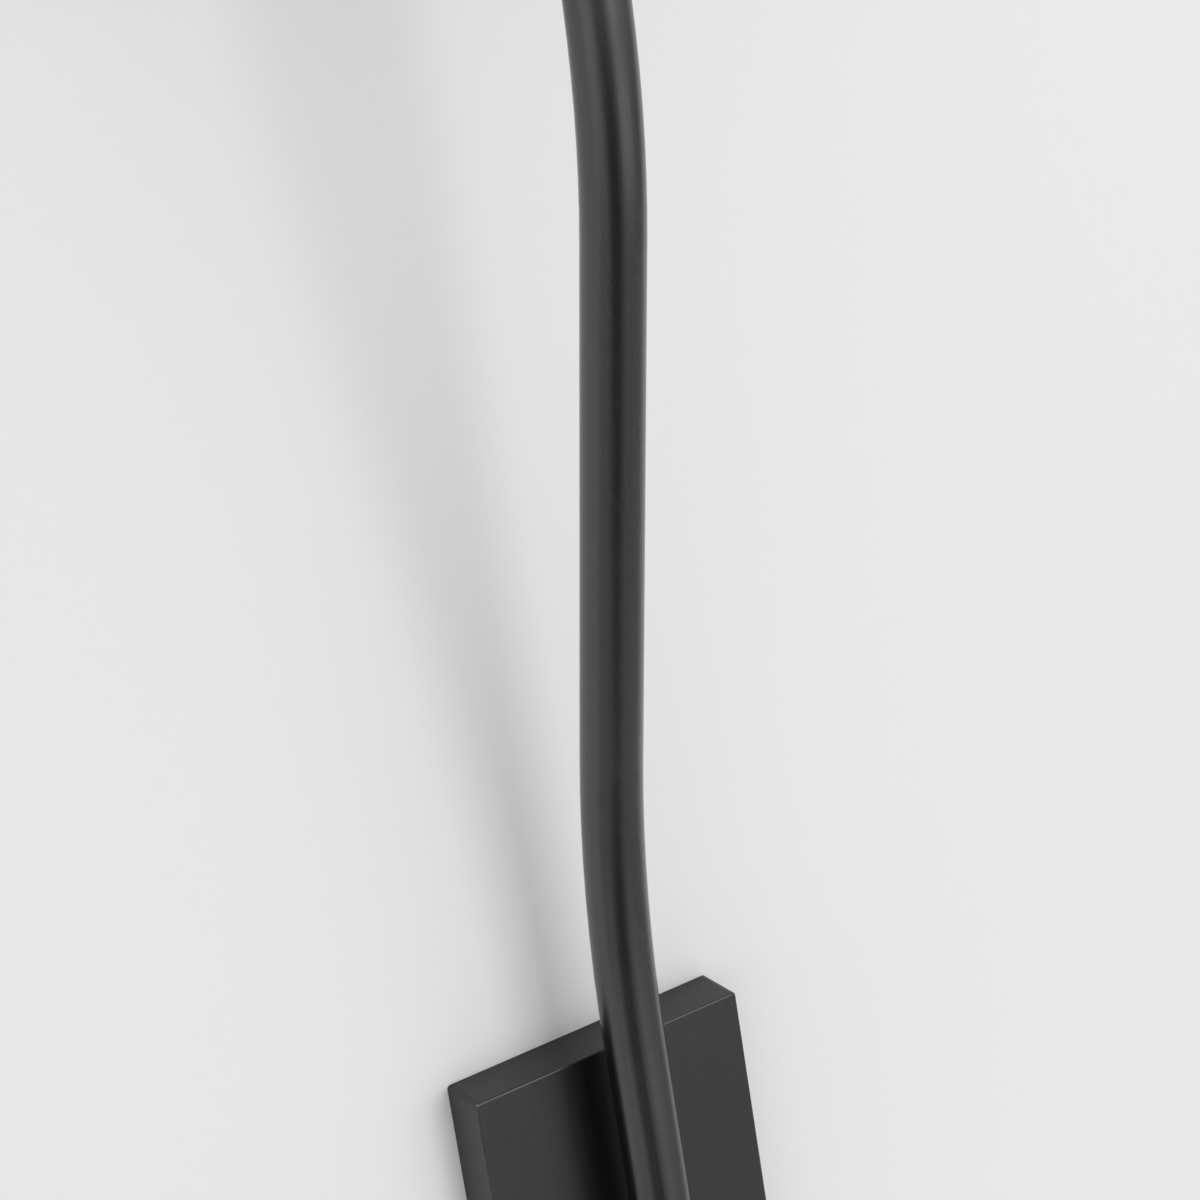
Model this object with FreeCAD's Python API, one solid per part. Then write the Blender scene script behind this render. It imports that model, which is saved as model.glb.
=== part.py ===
import FreeCAD, Part
import math
import os

# Wall sconce with an S-bent arm and a linen shade. Sizes are in millimetres.
# The origin is the centre of the backplate on the wall. The wall is the plane y = 0, the sconce stands out
# from it towards -y, x runs along the wall to the right, and z is up.

# Backplate: a formed pan, open towards the wall
plate_width = 112.0
plate_height = 200.0
plate_depth = 20.0
plate_wall = 2.0
plate_edge_round = 0.8
plate_corner_round = 2.0
plate_inner_round = 2.0

# Arm tube
tube_radius = 11.0
tube_wall = 1.5
arm_gap = 9.5
arm_tail = 70.0
first_bend_rise = 10.0
first_bend_radius = 450.0
sloped_run = 211.0
second_bend_radius = 370.0
upper_run = 40.0
bend_angle = math.radians(15.0)

# Turned post between backplate and arm, and the threaded pipe in it
post_radius = 8.0
post_base_radius = 11.0
post_base_depth = 3.0
post_base_round = 1.2
braze_gap = 0.05
thread_gap = 0.05
nipple_radius = 5.0
nipple_bore = 4.0
nipple_engagement = 7.5
post_nipple_tail = 8.0
plate_hole_gap = 0.3
nut_across_flats = 14.0
nut_height = 3.5
nut_chamfer = 1.0
washer_radius = 9.0
washer_thickness = 0.8
washer_teeth = 12
washer_tooth_depth = 1.6
washer_tooth_width = 1.4
bushing_flange_radius = 6.0
bushing_flange = 1.2
bushing_wall = 0.7
bushing_sleeve = 5.0
bushing_fit = 0.05

# Steel strap behind the backplate
strap_thickness = 2.0
strap_side_gap = 8.0
strap_waist = 44.0
strap_waist_height = 130.0
strap_waist_round = 8.0
strap_flange = 14.0
strap_bend_round = 1.0
strap_seat = 0.3
box_screw_spacing = 88.9
slot_width = 5.0
slot_length = 12.0
wire_hole_radius = 13.0
ground_screw_height = 24.0
ground_screw_radius = 2.4
ground_head_radius = 4.6
ground_head_height = 3.0
ground_slot_width = 1.2
ground_slot_depth = 1.2
ground_screw_tail = 1.5

# Screws in the underside of the backplate
plate_screw_spacing = 60.0
plate_screw_from_wall = 9.0
plate_screw_radius = 2.0
plate_screw_hole_gap = 0.25
plate_screw_length = 9.0
screw_head_radius = 3.5
screw_head_height = 2.2
screw_socket_flats = 2.5
screw_socket_depth = 1.3

# Plugs in the ends of the arm tube
plug_fit = 0.05
plug_spigot = 14.0
end_cap_rim = 2.5
end_cap_crown = 2.0
top_plug_rim = 4.0
top_plug_round = 1.0

# Cup and sleeve of the lampholder, heights above the top plug
cup_radius = 23.0
cup_bowl_radius = 11.0
cup_height = 18.0
cup_wall = 2.5
cup_seat_height = 12.5
cup_rim_wall = 1.2
sleeve_fit = 0.05
sleeve_wall = 1.0
sleeve_height = 37.5
socket_nipple_above = 12.5
socket_nipple_below = 10.0

# Lampholder
holder_seat = 0.1
holder_radius = 19.8
holder_wall = 2.0
holder_foot_radius = 14.0
holder_foot_rise = 7.0
holder_floor = 3.5
holder_base_height = 22.0
carrier_thickness = 8.0
carrier_rim = 2.0
carrier_fit = 0.2
terminal_width = 8.0
terminal_depth = 10.0
terminal_drop = 6.0
terminal_offset = 10.0
terminal_screw_radius = 1.6
terminal_head_radius = 2.6
terminal_head_height = 1.6
terminal_screw_length = 6.0
skirt_radius = 19.9
skirt_height = 35.0
skirt_lip_round = 1.0
shell_radius = 14.3
shell_wall = 0.4
shell_height = 26.0
contact_width = 6.0
contact_length = 15.0
contact_thickness = 0.5
contact_rise = 2.5
contact_knee_share = 0.4
contact_tip_share = 0.8

# Leads through post and arm
lead_radius = 1.3
lead_spacing = 2.9
lead_bend_radius = 11.0
lead_from_wall = 5.0
conductor_radius = 0.6
conductor_bare = 4.0
lead_terminal_gap = 0.2

# Shade: height and radii of the outer face, and its place on the lampholder
shade_lower_radius = 99.0
shade_upper_radius = 76.0
shade_height = 175.0
shade_drop = 40.0
fabric_thickness = 0.8
liner_thickness = 0.5
glue_gap = 0.1
ring_wire_radius = 1.25
binding_thickness = 0.6
binding_height = 10.0
binding_inner_height = 5.0
binding_gap = 0.1
fitter_thickness = 1.5
fitter_radius = 27.0
fitter_clearance = 0.4
fitter_seat = 0.3
spoke_bend_radius = 9.0
spoke_count = 3
spoke_inset = 3.0
first_spoke_angle = -90.0
nut_ring_clearance = 0.3
nut_ring_seat = 0.3
nut_ring_wall = 4.3
nut_ring_height = 8.0
nut_ring_flange = 8.0
nut_ring_flange_height = 2.0
grip_count = 18
grip_radius = 1.3

# Lamp: heights above its tip
bulb_seat = 0.3
bulb_contact_radius = 4.6
bulb_contact_height = 2.0
bulb_insulator_radius = 11.0
bulb_insulator_height = 4.5
bulb_cap_radius = 13.2
bulb_cap_height = 20.5
bulb_cap_wall = 0.4
bulb_neck_radius = 12.6
bulb_radius = 17.5
bulb_widest_height = 54.0
bulb_length = 100.0
bulb_tip_radius = 6.0
bulb_neck_share = 0.62
bulb_shoulder_share = 0.84
bulb_glass_wall = 1.0

# How far cutting shapes run past the faces that they cut, and how nearly parallel a chosen edge lies
overrun = 1.0
parallel_share = 0.001

UP = FreeCAD.Vector(0, 0, 1)
OUT = FreeCAD.Vector(0, -1, 0)
RIGHT = FreeCAD.Vector(1, 0, 0)

# Places that follow from the sizes
plate_half = plate_height / 2
strap_width = plate_width - 2 * plate_wall - 2 * strap_side_gap
arm_from_wall = plate_depth + arm_gap + tube_radius
tube_bore = tube_radius - tube_wall
first_tangent = first_bend_radius * math.tan(bend_angle / 2)
second_tangent = second_bend_radius * math.tan(bend_angle / 2)
first_corner_z = plate_half + first_bend_rise + first_tangent
slope_length = first_tangent + sloped_run + second_tangent
reach = arm_from_wall + slope_length * math.sin(bend_angle)
second_corner_z = first_corner_z + slope_length * math.cos(bend_angle)
arm_top_z = second_corner_z + second_tangent + upper_run
cup_z = arm_top_z + top_plug_rim
holder_z = cup_z + cup_wall + nut_height + holder_seat
carrier_z = holder_z + holder_base_height
skirt_z = carrier_z + carrier_rim
sleeve_top_z = cup_z + cup_seat_height + sleeve_height
fitter_z = sleeve_top_z + fitter_seat
nut_ring_z = fitter_z + fitter_thickness + nut_ring_seat
shade_z = fitter_z - shade_drop
bulb_z = skirt_z + contact_thickness + contact_rise + bulb_seat


def point(x, from_wall, z):
    return FreeCAD.Vector(x, -from_wall, z)


# Solids from outlines. An outline is a start point and then steps: two numbers are the end of a line, and
# four numbers are a point on an arc and its end. Each pair is a distance across and a distance along.

def outline_face(start, steps, place):
    edges = []
    here = start
    for step in steps:
        end = step[-2:]
        if len(step) == 2:
            edges.append(Part.LineSegment(place(*here), place(*end)).toShape())
        else:
            edges.append(Part.Arc(place(*here), place(*step[:2]), place(*end)).toShape())
        here = end
    if here != start:
        edges.append(Part.LineSegment(place(*here), place(*start)).toShape())
    return Part.Face(Part.Wire(edges))


def turned_up(start, steps, base_z, from_wall):
    # Round about an upright axis: radius and height above base_z
    def place(radius, height):
        return point(radius, from_wall, base_z + height)
    return outline_face(start, steps, place).revolve(point(0, from_wall, base_z), UP, 360)


def turned_out(start, steps, z=0):
    # Round about an axis square to the wall: radius and distance from the wall
    def place(radius, distance):
        return point(radius, distance, z)
    return outline_face(start, steps, place).revolve(point(0, 0, z), OUT, 360)


def block(width, from_wall, to_wall, low_z, high_z, x=0):
    corner = point(x - width / 2, to_wall, low_z)
    return Part.makeBox(width, to_wall - from_wall, high_z - low_z, corner)


def rod_up(radius, low_z, high_z, from_wall, x=0):
    return Part.makeCylinder(radius, high_z - low_z, point(x, from_wall, low_z), UP)


def rod_out(radius, from_wall, to_wall, z=0, x=0):
    return Part.makeCylinder(radius, to_wall - from_wall, point(x, from_wall, z), OUT)


def ring_up(outer, inner, low_z, high_z, from_wall):
    steps = [(outer, 0), (outer, high_z - low_z), (inner, high_z - low_z)]
    return turned_up((inner, 0), steps, low_z, from_wall)


def hexagon(across_flats, centre, direction, height):
    radius = across_flats / (2 * math.cos(math.pi / 6))
    side = direction.cross(RIGHT)
    corners = []
    for index in range(6):
        angle = math.pi / 6 + index * math.pi / 3
        corners.append(centre + RIGHT * (radius * math.cos(angle)) + side * (radius * math.sin(angle)))
    corners.append(corners[0])
    return Part.Face(Part.makePolygon(corners)).extrude(direction * height)


def rounded_corner(across, along, radius):
    # Up a side, round its outer corner and onto the flat top
    inset = radius * (1 - math.sqrt(0.5))
    return [
        (across, along - radius),
        (across - inset, along - inset, across - radius, along),
    ]


def dome_step(radius, start, height):
    # One arc from the rim of a round dome to its crown on the axis; a hanging dome has a negative height
    ball = (radius * radius + height * height) / (2 * abs(height))
    half_angle = math.asin(radius / ball) / 2
    sagitta = ball * (math.cos(half_angle) - math.cos(2 * half_angle))
    return (ball * math.sin(half_angle), start + math.copysign(sagitta, height), 0, start + height)


def bent_path(corners, radii):
    # Straight runs joined by arcs that touch both runs
    edges = []
    here = corners[0]
    for index, radius in enumerate(radii):
        corner = corners[index + 1]
        inward = (corner - corners[index]).normalize()
        outward = (corners[index + 2] - corner).normalize()
        turn = inward.getAngle(outward)
        tangent = radius * math.tan(turn / 2)
        start = corner - inward * tangent
        end = corner + outward * tangent
        middle_direction = (outward - inward).normalize()
        middle = corner + middle_direction * (radius / math.cos(turn / 2) - radius)
        edges.append(Part.LineSegment(here, start).toShape())
        edges.append(Part.Arc(start, middle, end).toShape())
        here = end
    edges.append(Part.LineSegment(here, corners[-1]).toShape())
    return Part.Wire(edges)


def round_bar(path, radius, start, direction):
    section = Part.Wire([Part.makeCircle(radius, start, direction)])
    return path.makePipeShell([section], True, False)


def edges_along(shape, direction, test):
    chosen = []
    for edge in shape.Edges:
        ends = [vertex.Point for vertex in edge.Vertexes]
        if len(ends) < 2:
            continue
        span = ends[1] - ends[0]
        if span.Length == 0:
            continue
        if span.cross(direction).Length < span.Length * parallel_share and test(ends[0]):
            chosen.append(edge)
    return chosen


# Backplate and its fastenings

def backplate():
    pan = block(plate_width, 0, plate_depth, -plate_half, plate_half)
    pan = pan.makeFillet(plate_corner_round, edges_along(pan, OUT, lambda at: True))

    def on_front(at):
        return at.y < -plate_depth / 2
    front_edges = edges_along(pan, RIGHT, on_front) + edges_along(pan, UP, on_front)
    pan = pan.makeFillet(plate_edge_round, front_edges)
    inside_width = plate_width - 2 * plate_wall
    inside_half = plate_half - plate_wall
    hollow = block(inside_width, -overrun, plate_depth - plate_wall, -inside_half, inside_half)
    rounded = edges_along(hollow, OUT, lambda at: True)
    hollow = hollow.makeFillet(plate_inner_round, rounded)
    pan = pan.cut(hollow)
    hole_radius = nipple_radius + plate_hole_gap
    pan = pan.cut(rod_out(hole_radius, plate_depth - plate_wall - overrun, plate_depth + overrun))
    for x in plate_screw_places():
        radius = plate_screw_radius + plate_screw_hole_gap
        low = -plate_half - overrun
        pan = pan.cut(rod_up(radius, low, -inside_half + overrun, plate_screw_from_wall, x))
    return pan


def plate_screw_places():
    return (-plate_screw_spacing / 2, plate_screw_spacing / 2)


def mounting_strap():
    outer_half = plate_half - plate_wall - strap_seat
    inner_half = outer_half - strap_thickness
    strap = block(strap_width, 0, strap_flange, -outer_half, outer_half)
    wide = strap_width + 2 * overrun
    inside = block(wide, strap_thickness, strap_flange + overrun, -inner_half, inner_half)
    strap = strap.cut(inside)
    outer_bends = edges_along(strap, RIGHT, lambda at: at.y > -overrun and abs(at.z) > inner_half)
    strap = strap.makeFillet(strap_bend_round + strap_thickness, outer_bends)

    def at_inner_bend(at):
        return abs(at.y + strap_thickness) < overrun and abs(abs(at.z) - inner_half) < overrun
    inner_bends = edges_along(strap, RIGHT, at_inner_bend)
    strap = strap.makeFillet(strap_bend_round, inner_bends)
    side = (strap_width - strap_waist) / 2
    half = strap_waist_height / 2
    for sign in (-1, 1):
        x = sign * (strap_waist + side) / 2 + sign * overrun
        notch = block(side + 2 * overrun, -overrun, strap_thickness + overrun, -half, half, x)
        notch = notch.makeFillet(strap_waist_round, edges_along(notch, OUT, lambda at: True))
        strap = strap.cut(notch)
    strap = strap.cut(rod_out(wire_hole_radius, -overrun, strap_thickness + overrun))
    for sign in (-1, 1):
        middle = sign * box_screw_spacing / 2
        straight = (slot_length - slot_width) / 2
        low = middle - straight
        high = middle + straight
        slot = block(slot_width, -overrun, strap_thickness + overrun, low, high)
        for z in (low, high):
            slot = slot.fuse(rod_out(slot_width / 2, -overrun, strap_thickness + overrun, z))
        strap = strap.cut(slot)
    screw_hole = ground_screw_radius + thread_gap
    strap = strap.cut(rod_out(screw_hole, -overrun, strap_thickness + overrun, ground_screw_height))
    for x in plate_screw_places():
        radius = plate_screw_radius + thread_gap
        low = -outer_half - overrun
        strap = strap.cut(rod_up(radius, low, -inner_half + overrun, plate_screw_from_wall, x))
    return strap


def ground_screw():
    head_top = strap_thickness + ground_head_height
    tail = strap_thickness - ground_screw_tail
    steps = [
        (ground_screw_radius, tail),
        (ground_screw_radius, strap_thickness),
        (ground_head_radius, strap_thickness),
        (ground_head_radius, head_top),
        (0, head_top),
    ]
    screw = turned_out((0, tail), steps, ground_screw_height)
    slot_top = ground_screw_height + ground_slot_width / 2
    slot = block(
        2 * ground_head_radius + overrun,
        head_top - ground_slot_depth,
        head_top + overrun,
        slot_top - ground_slot_width,
        slot_top,
    )
    return screw.cut(slot)


def plate_screws():
    screws = []
    for x in plate_screw_places():
        seat = -plate_half
        shank = rod_up(plate_screw_radius, seat, seat + plate_screw_length, plate_screw_from_wall, x)
        edge = screw_head_height / 2
        steps = [
            (screw_head_radius, 0),
            (screw_head_radius, -edge),
            dome_step(screw_head_radius, -edge, edge - screw_head_height),
        ]
        head = turned_up((0, 0), steps, seat, plate_screw_from_wall)
        head.translate(RIGHT * x)
        screw = head.fuse(shank)
        bottom = point(x, plate_screw_from_wall, seat - screw_head_height - overrun)
        screw = screw.cut(hexagon(screw_socket_flats, bottom, UP, screw_socket_depth + overrun))
        screws.append(screw.removeSplitter())
    return Part.makeCompound(screws)


# Post, threaded pipe and what holds them in the backplate

def arm_post():
    start = plate_depth
    base_top = start + post_base_depth
    steps = [(post_base_radius, start)]
    steps += rounded_corner(post_base_radius, base_top, post_base_round)
    steps += [(post_radius, base_top), (post_radius, arm_from_wall), (0, arm_from_wall)]
    post = turned_out((0, start), steps)
    saddle = rod_up(tube_radius + braze_gap, -2 * post_radius, 2 * post_radius, arm_from_wall)
    post = post.cut(saddle)
    thread = rod_out(nipple_radius + thread_gap, start - overrun, start + nipple_engagement)
    post = post.cut(thread)
    return post.cut(rod_out(nipple_bore, start, arm_from_wall))


def pipe_out(outer, inner, from_wall, to_wall):
    return rod_out(outer, from_wall, to_wall).cut(rod_out(inner, from_wall - overrun, to_wall + overrun))


def post_nipple():
    return pipe_out(nipple_radius, nipple_bore, post_nipple_tail, plate_depth + nipple_engagement)


def lock_washer():
    high = plate_depth - plate_wall
    washer = pipe_out(washer_radius, nipple_radius + thread_gap, high - washer_thickness, high)
    for index in range(washer_teeth):
        inner = washer_radius - washer_tooth_depth
        notch = Part.makeBox(
            washer_tooth_depth + overrun,
            washer_thickness + 2 * overrun,
            washer_tooth_width,
            point(inner, high + overrun, -washer_tooth_width / 2),
        )
        notch.rotate(point(0, 0, 0), OUT, 360 * index / washer_teeth)
        washer = washer.cut(notch)
    return washer


def hexagon_nut(centre, direction):
    # The chamfered corners come from a cone at each face
    nut = hexagon(nut_across_flats, centre, direction, nut_height)
    corner = nut_across_flats / (2 * math.cos(math.pi / 6))
    middle = nut_height / 2
    lower = Part.makeCone(corner - nut_chamfer, corner + middle, nut_height, centre, direction)
    upper = Part.makeCone(corner + middle, corner - nut_chamfer, nut_height, centre, direction)
    nut = nut.common(lower).common(upper)
    bore = Part.makeCylinder(nipple_radius + thread_gap, nut_height + 2 * overrun,
                             centre - direction * overrun, direction)
    return nut.cut(bore)


def post_nut():
    low = plate_depth - plate_wall - washer_thickness - nut_height
    return hexagon_nut(point(0, low, 0), OUT)


def lead_bushing():
    low = post_nipple_tail - bushing_flange
    sleeve_radius = nipple_bore - bushing_fit
    inner = sleeve_radius - bushing_wall
    steps = [
        (bushing_flange_radius, low),
        (bushing_flange_radius, post_nipple_tail),
        (sleeve_radius, post_nipple_tail),
        (sleeve_radius, post_nipple_tail + bushing_sleeve),
        (inner, post_nipple_tail + bushing_sleeve),
    ]
    return turned_out((inner, low), steps)


# Arm tube and its two plugs

def arm_corners(low_z, high_z, x=0):
    return [
        point(x, arm_from_wall, low_z),
        point(x, arm_from_wall, first_corner_z),
        point(x, reach, second_corner_z),
        point(x, reach, high_z),
    ]


def arm_tube():
    radii = (first_bend_radius, second_bend_radius)
    corners = arm_corners(-arm_tail, arm_top_z)
    outside = round_bar(bent_path(corners, radii), tube_radius, corners[0], UP)
    corners = arm_corners(-arm_tail - overrun, arm_top_z + overrun)
    inside = round_bar(bent_path(corners, radii), tube_bore, corners[0], UP)
    tube = outside.cut(inside)
    return tube.cut(rod_out(nipple_bore, plate_depth, arm_from_wall))


def tube_end_cap():
    spigot = tube_bore - plug_fit
    rim_top = -arm_tail
    rim_low = rim_top - end_cap_rim
    steps = [
        (spigot, rim_top + plug_spigot),
        (spigot, rim_top),
        (tube_radius, rim_top),
        (tube_radius, rim_low),
        dome_step(tube_radius, rim_low, -end_cap_crown),
    ]
    return turned_up((0, rim_top + plug_spigot), steps, 0, arm_from_wall)


def arm_top_plug():
    spigot = tube_bore - plug_fit
    bore = nipple_radius + thread_gap
    steps = [(spigot, -plug_spigot), (spigot, 0), (tube_radius, 0)]
    steps += rounded_corner(tube_radius, top_plug_rim, top_plug_round)
    steps.append((bore, top_plug_rim))
    return turned_up((bore, -plug_spigot), steps, arm_top_z, reach)


# Cup, sleeve and lampholder on top of the arm

def socket_nipple():
    low = cup_z - socket_nipple_below
    high = cup_z + socket_nipple_above
    return ring_up(nipple_radius, nipple_bore, low, high, reach)


def socket_cup():
    bore = nipple_radius + thread_gap
    centre = cup_radius - cup_bowl_radius
    inner = cup_bowl_radius - cup_wall
    slant = math.sqrt(0.5)
    seat_radius = cup_radius - cup_wall
    rim_inside = cup_radius - cup_rim_wall
    steps = [
        (centre, 0),
        (centre + cup_bowl_radius * slant, cup_bowl_radius * (1 - slant), cup_radius, cup_bowl_radius),
        (cup_radius, cup_height),
        (rim_inside, cup_height),
        (rim_inside, cup_seat_height),
        (seat_radius, cup_seat_height),
        (seat_radius, cup_bowl_radius),
        (centre + inner * slant, cup_bowl_radius - inner * slant, centre, cup_wall),
        (bore, cup_wall),
    ]
    return turned_up((bore, 0), steps, cup_z, reach)


def cup_nut():
    return hexagon_nut(point(0, reach, cup_z + cup_wall), UP)


def socket_sleeve():
    outer = cup_radius - cup_rim_wall - sleeve_fit
    return ring_up(outer, outer - sleeve_wall, cup_z + cup_seat_height, sleeve_top_z, reach)


def lampholder_base():
    bore = nipple_radius + thread_gap
    inner = holder_radius - holder_wall
    steps = [
        (holder_foot_radius, 0),
        (holder_radius, holder_foot_rise),
        (holder_radius, holder_base_height),
        (inner, holder_base_height),
        (inner, holder_foot_rise + holder_floor / 2),
        (holder_foot_radius, holder_floor),
        (bore, holder_floor),
    ]
    return turned_up((bore, 0), steps, holder_z, reach)


def terminal_places():
    return (-terminal_offset, terminal_offset)


def contact_carrier():
    body = holder_radius - holder_wall - carrier_fit
    low = carrier_z - carrier_thickness
    carrier = rod_up(body, low, carrier_z, reach)
    carrier = carrier.fuse(rod_up(holder_radius, carrier_z, skirt_z, reach))
    for x in terminal_places():
        half = terminal_depth / 2
        post = block(terminal_width, reach - half, reach + half, low - terminal_drop, low, x)
        lead_x = math.copysign(lead_spacing / 2, x)
        carrier = carrier.fuse(post)
        hole_low = low - terminal_drop - overrun
        hole = rod_out(terminal_screw_radius + thread_gap, reach - half - overrun,
                       reach - half + terminal_screw_length, low - terminal_drop / 2, x)
        carrier = carrier.cut(hole)
        lead_hole_radius = lead_radius + lead_terminal_gap
        lead_hole = rod_up(lead_hole_radius, hole_low, low + terminal_drop / 2, reach, lead_x)
        carrier = carrier.cut(lead_hole)
    return carrier.removeSplitter()


def terminal_screws():
    screws = []
    face = reach - terminal_depth / 2
    z = carrier_z - carrier_thickness - terminal_drop / 2
    for x in terminal_places():
        shank = rod_out(terminal_screw_radius, face, face + terminal_screw_length, z, x)
        head = rod_out(terminal_head_radius, face - terminal_head_height, face, z, x)
        screws.append(head.fuse(shank).removeSplitter())
    return Part.makeCompound(screws)


def centre_contact():
    # A leaf whose free end is bent up under the lamp
    half = contact_length / 2
    knee = half * contact_knee_share
    tip = half * contact_tip_share
    steps = [
        (half, contact_thickness),
        (knee, contact_thickness),
        (-knee, contact_rise + contact_thickness),
        (-tip, contact_rise + contact_thickness),
        (-tip, contact_rise),
        (-knee, contact_rise),
        (knee, 0),
    ]

    def place(across, height):
        return point(across, reach + contact_width / 2, skirt_z + height)
    return outline_face((half, 0), steps, place).extrude(OUT * -contact_width)


def screw_shell():
    return ring_up(shell_radius, shell_radius - shell_wall, skirt_z, skirt_z + shell_height, reach)


def lampholder_skirt():
    inner = skirt_radius - holder_wall
    steps = [(skirt_radius, 0)]
    steps += rounded_corner(skirt_radius, skirt_height, skirt_lip_round)
    steps.append((inner, skirt_height))
    return turned_up((inner, 0), steps, skirt_z, reach)


# Leads: two insulated wires side by side, from the bush to the terminals

def lead(side):
    x = side * lead_spacing / 2
    end_z = carrier_z - carrier_thickness + terminal_drop / 4
    corners = [point(x, lead_from_wall, 0), point(x, arm_from_wall, 0)] + arm_corners(0, end_z, x)[1:]
    radii = (lead_bend_radius, first_bend_radius, second_bend_radius)
    insulation = round_bar(bent_path(corners, radii), lead_radius, corners[0], OUT)
    bare = rod_out(conductor_radius, lead_from_wall - conductor_bare, lead_from_wall, 0, x)
    return insulation.fuse(bare)


# Shade

def shade_slope():
    return (shade_upper_radius - shade_lower_radius) / shade_height


def shade_radius(height):
    return shade_lower_radius + shade_slope() * height


def cone_band(outer_offset, thickness, low, high):
    # A band of the shade's cone, set in from its outer face by outer_offset
    lower = shade_radius(low) - outer_offset
    upper = shade_radius(high) - outer_offset
    steps = [(lower, low), (upper, high), (upper - thickness, high)]
    return turned_up((lower - thickness, low), steps, shade_z, reach)


def shade_fabric():
    return cone_band(0, fabric_thickness, 0, shade_height)


def liner_offset():
    return fabric_thickness + glue_gap


def ring_offset():
    return liner_offset() + liner_thickness + glue_gap + ring_wire_radius


def shade_liner():
    return cone_band(liner_offset(), liner_thickness, 0, shade_height)


def wire_ring(height):
    radius = shade_radius(height) - ring_offset()
    return Part.makeTorus(radius, ring_wire_radius, point(0, reach, shade_z + height), UP)


def shade_upper_ring():
    return wire_ring(shade_height - ring_wire_radius)


def binding(edge, inward):
    # Tape rolled over the edge, the liner and the wire ring; inward is 1 at the lower edge, -1 at the upper
    gap = binding_gap
    tape = binding_thickness
    outer_end = edge + inward * binding_height
    inner_end = edge + inward * binding_inner_height
    inner_offset = ring_offset() + ring_wire_radius + gap + glue_gap
    steps = [
        (shade_radius(outer_end) + gap + tape, outer_end),
        (shade_radius(edge) + gap + tape, edge - inward * (gap + tape)),
        (shade_radius(edge) - inner_offset - tape, edge - inward * (gap + tape)),
        (shade_radius(inner_end) - inner_offset - tape, inner_end),
        (shade_radius(inner_end) - inner_offset, inner_end),
        (shade_radius(edge) - inner_offset, edge - inward * gap),
        (shade_radius(edge) + gap, edge - inward * gap),
    ]
    return turned_up((shade_radius(outer_end) + gap, outer_end), steps, shade_z, reach)


def shade_lower_binding():
    return binding(0, 1)


def shade_upper_binding():
    return binding(shade_height, -1)


def fitter_bore():
    return skirt_radius + fitter_clearance


def shade_fitter():
    return ring_up(fitter_radius, fitter_bore(), fitter_z, fitter_z + fitter_thickness, reach)


def shade_lower_ring():
    return wire_ring(ring_wire_radius)


def fitter_spokes():
    # Each spoke leaves the underside of the fitter ring and bends down the liner to the lower wire ring
    spoke_z = fitter_z - glue_gap - ring_wire_radius
    foot_z = shade_z + 2 * ring_wire_radius + glue_gap
    foot_radius = shade_radius(foot_z - shade_z) - ring_offset()
    knee_radius = foot_radius + shade_slope() * (spoke_z - foot_z)
    start = FreeCAD.Vector(fitter_radius - spoke_inset, 0, spoke_z)
    knee = FreeCAD.Vector(knee_radius, 0, spoke_z)
    foot = FreeCAD.Vector(foot_radius, 0, foot_z)
    path = bent_path([start, knee, foot], (spoke_bend_radius,))
    spoke = round_bar(path, ring_wire_radius, start, RIGHT)
    spokes = []
    for index in range(spoke_count):
        arm = spoke.copy()
        arm.rotate(FreeCAD.Vector(0, 0, 0), UP, first_spoke_angle + 360 * index / spoke_count)
        arm.translate(point(0, reach, 0))
        spokes.append(arm)
    return Part.makeCompound(spokes)


def shade_ring_nut():
    inner = skirt_radius + nut_ring_clearance
    outer = inner + nut_ring_wall
    flange = inner + nut_ring_flange
    steps = [
        (flange, 0),
        (flange, nut_ring_flange_height),
        (outer, nut_ring_flange_height),
        (outer, nut_ring_height),
        (inner, nut_ring_height),
    ]
    nut = turned_up((inner, 0), steps, nut_ring_z, reach)
    for index in range(grip_count):
        angle = 2 * math.pi * index / grip_count
        rib_low = nut_ring_z + nut_ring_flange_height / 2
        rib = rod_up(grip_radius, rib_low, nut_ring_z + nut_ring_height, reach)
        rib.translate(FreeCAD.Vector(outer * math.cos(angle), outer * math.sin(angle), 0))
        nut = nut.fuse(rib)
    return nut.removeSplitter()


# Lamp

def bulb_contact():
    rise = bulb_contact_height
    steps = [(bulb_contact_radius, rise), dome_step(bulb_contact_radius, rise, -rise)]
    return turned_up((0, rise), steps, bulb_z, reach)


def bulb_insulator():
    low = bulb_contact_height
    steps = [(bulb_contact_radius, low), (bulb_insulator_radius, low + bulb_insulator_height),
             (0, low + bulb_insulator_height)]
    return turned_up((0, low), steps, bulb_z, reach)


def bulb_cap():
    low = bulb_contact_height + bulb_insulator_height
    high = low + bulb_cap_height
    chamfer = bulb_cap_radius - bulb_insulator_radius
    inner = bulb_cap_radius - bulb_cap_wall
    steps = [
        (bulb_insulator_radius, low),
        (bulb_cap_radius, low + chamfer),
        (bulb_cap_radius, high),
        (inner, high),
        (inner, low + chamfer),
        (bulb_insulator_radius - bulb_cap_wall, low + bulb_cap_wall),
        (0, low + bulb_cap_wall),
    ]
    return turned_up((0, low), steps, bulb_z, reach)


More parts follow.
